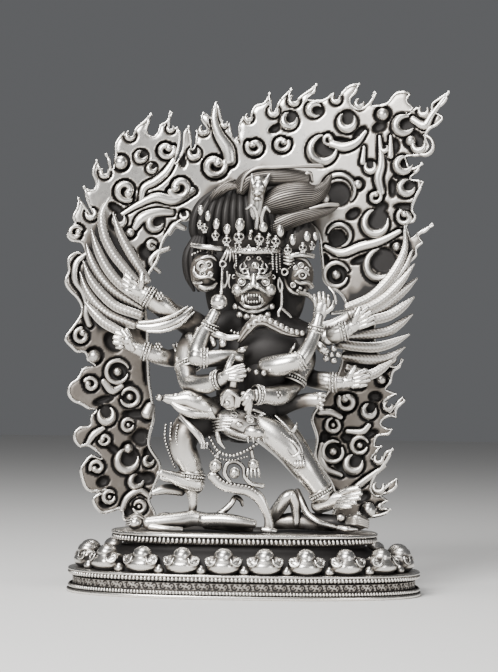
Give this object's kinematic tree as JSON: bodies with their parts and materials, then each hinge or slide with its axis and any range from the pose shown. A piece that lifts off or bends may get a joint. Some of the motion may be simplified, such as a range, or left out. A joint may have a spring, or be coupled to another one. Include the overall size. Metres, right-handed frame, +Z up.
{
  "type": "yab-yum statue",
  "caption": "Cast silver-toned statue of a winged wrathful deity embracing a consort, trampling lying figures on an oval lotus pedestal before a ring of flames",
  "frame": {"origin": "middle of the flat underside of the pedestal", "axes": "+Z up; the viewer stands on the -Y side, so +Y runs back to the flame ring; +X to the viewer's right"},
  "size_m": [0.2483, 0.1258, 0.3301],
  "materials": {
    "oxidised_silver": "cast silver-toned metal, polished on the high places and oxidised dark brown to black in the hollows"
  },
  "bodies": {
    "root": {"lotus_pedestal": "oxidised_silver", "flame_aureole": "oxidised_silver", "embracing_couple": "oxidised_silver", "left_wing": "oxidised_silver", "right_wing": "oxidised_silver", "left_trampled_figure": "oxidised_silver", "right_trampled_figure": "oxidised_silver"}
  },
  "joints": []
}
